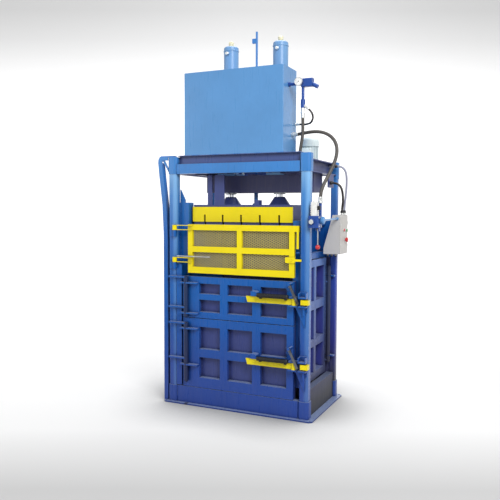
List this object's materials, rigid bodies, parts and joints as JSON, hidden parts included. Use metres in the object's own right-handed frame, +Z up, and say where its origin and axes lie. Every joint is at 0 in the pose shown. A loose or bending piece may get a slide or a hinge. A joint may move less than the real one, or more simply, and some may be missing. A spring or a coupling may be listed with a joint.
{
  "type": "vertical baler",
  "caption": "Tall blue press with ribbed front doors, a yellow mesh feed gate, long hydraulic cylinders, and an oil tank and hoses on its head",
  "frame": {"origin": "on the floor, under the middle of the four columns", "axes": "+X to the right along the front, +Y to the back, +Z up"},
  "size_m": [1.6109, 0.938, 3.3],
  "materials": {
    "blue_paint": "satin",
    "yellow_paint": "satin",
    "mesh_paint": "satin",
    "tank_paint": "satin",
    "motor_paint": "satin",
    "steel": "satin",
    "chrome": "polished",
    "brass": "satin",
    "rubber": "matte",
    "box_paint": "satin",
    "dial": "gloss",
    "red_plastic": "gloss",
    "green_plastic": "gloss"
  },
  "bodies": {
    "frame": {"base_plate": "blue_paint", "column_front_left": "blue_paint", "column_front_right": "blue_paint", "column_rear_left": "blue_paint", "column_rear_right": "blue_paint", "column_caps": "blue_paint", "head_cross_beams": "blue_paint", "head_side_beams": "blue_paint", "press_beams": "blue_paint", "front_sill": "blue_paint", "floor_frame": "blue_paint", "left_wall": "blue_paint", "rear_wall": "blue_paint", "right_wall": "blue_paint", "left_stay": "blue_paint", "lock_brackets": "blue_paint", "hinge_brackets": "blue_paint", "relief_block": "blue_paint", "control_valve": "blue_paint", "pump": "blue_paint", "lock_keepers": "yellow_paint", "oil_tank": "tank_paint", "cylinder_barrels": "tank_paint", "motor": "motor_paint", "cylinder_glands": "steel", "solenoid": "steel", "hose_fittings": "steel", "pins_and_bolts": "steel", "cylinder_plugs": "brass", "pressure_hose": "rubber", "gauge_hose": "rubber", "return_hose": "rubber", "motor_cable": "rubber", "valve_cable": "rubber", "control_box": "box_paint", "box_cover": "box_paint", "gauge": "dial"},
    "platen": {"platen": "blue_paint", "platen_face_plate": "yellow_paint", "piston_rods": "chrome", "indicator_rod": "blue_paint"},
    "upper_door": {"upper_door": "blue_paint"},
    "lower_door": {"lower_door": "blue_paint"},
    "upper_lock": {"upper_lock_lever": "yellow_paint", "upper_lock_grip": "rubber"},
    "lower_lock": {"lower_lock_lever": "yellow_paint", "lower_lock_grip": "rubber"},
    "upper_catch": {"upper_catch": "steel"},
    "lower_catch": {"lower_catch": "steel"},
    "gate": {"gate_frame": "yellow_paint", "gate_mesh": "mesh_paint", "gate_rod": "steel"},
    "gate_latch": {"gate_latch": "yellow_paint"},
    "side_door": {"side_door": "blue_paint"},
    "valve_lever": {"valve_lever": "steel", "lever_ball": "red_plastic"},
    "stop_button": {"stop_button": "red_plastic"},
    "start_button": {"start_button": "green_plastic"},
    "emergency_stop": {"emergency_stop": "red_plastic"}
  },
  "joints": [
    {"name": "platen_press", "type": "slide", "parent": "frame", "child": "platen", "axis": [0, 0, -1], "range_m": [0, 0.95]},
    {"name": "upper_door_swing", "type": "hinge", "parent": "frame", "child": "upper_door", "pos_m": [-0.47, -0.422, 0.965], "axis": [0, 0, -1], "range_deg": [0, 160]},
    {"name": "lower_door_swing", "type": "hinge", "parent": "frame", "child": "lower_door", "pos_m": [-0.47, -0.422, 0.468], "axis": [0, 0, -1], "range_deg": [0, 160]},
    {"name": "feed_gate_swing", "type": "hinge", "parent": "frame", "child": "gate", "pos_m": [-0.585, -0.422, 1.43], "axis": [0, 0, -1], "range_deg": [0, 150]},
    {"name": "gate_latch_turn", "type": "hinge", "parent": "gate", "child": "gate_latch", "pos_m": [0.5115, -0.412, 1.32], "axis": [0, -1, 0], "range_deg": [0, 90]},
    {"name": "side_door_swing", "type": "hinge", "parent": "frame", "child": "side_door", "pos_m": [0.607, 0.292, 0.78], "axis": [0, 0, 1], "range_deg": [0, 100]},
    {"name": "upper_lock_turn", "type": "hinge", "parent": "upper_door", "child": "upper_lock", "pos_m": [0.552, -0.44, 0.985], "axis": [0, 0, 1], "range_deg": [0, 90]},
    {"name": "upper_catch_turn", "type": "hinge", "parent": "upper_door", "child": "upper_catch", "pos_m": [0.517, -0.468, 1.128], "axis": [0, -1, 0], "range_deg": [0, 70]},
    {"name": "lower_lock_turn", "type": "hinge", "parent": "lower_door", "child": "lower_lock", "pos_m": [0.552, -0.44, 0.458], "axis": [0, 0, 1], "range_deg": [0, 90]},
    {"name": "lower_catch_turn", "type": "hinge", "parent": "lower_door", "child": "lower_catch", "pos_m": [0.517, -0.468, 0.601], "axis": [0, -1, 0], "range_deg": [0, 70]},
    {"name": "valve_lever_tilt", "type": "hinge", "parent": "frame", "child": "valve_lever", "pos_m": [0.732, -0.4, 1.572], "axis": [1, 0, 0], "range_deg": [-18, 18], "stiffness_Nm_per_rad": 1.5},
    {"name": "stop_press", "type": "slide", "parent": "frame", "child": "stop_button", "axis": [-1, 0, 0], "range_m": [0, 0.005], "stiffness_N_per_m": 500},
    {"name": "start_press", "type": "slide", "parent": "frame", "child": "start_button", "axis": [-1, 0, 0], "range_m": [0, 0.005], "stiffness_N_per_m": 500},
    {"name": "emergency_press", "type": "slide", "parent": "frame", "child": "emergency_stop", "axis": [-1, 0, 0], "range_m": [0, 0.005]}
  ]
}
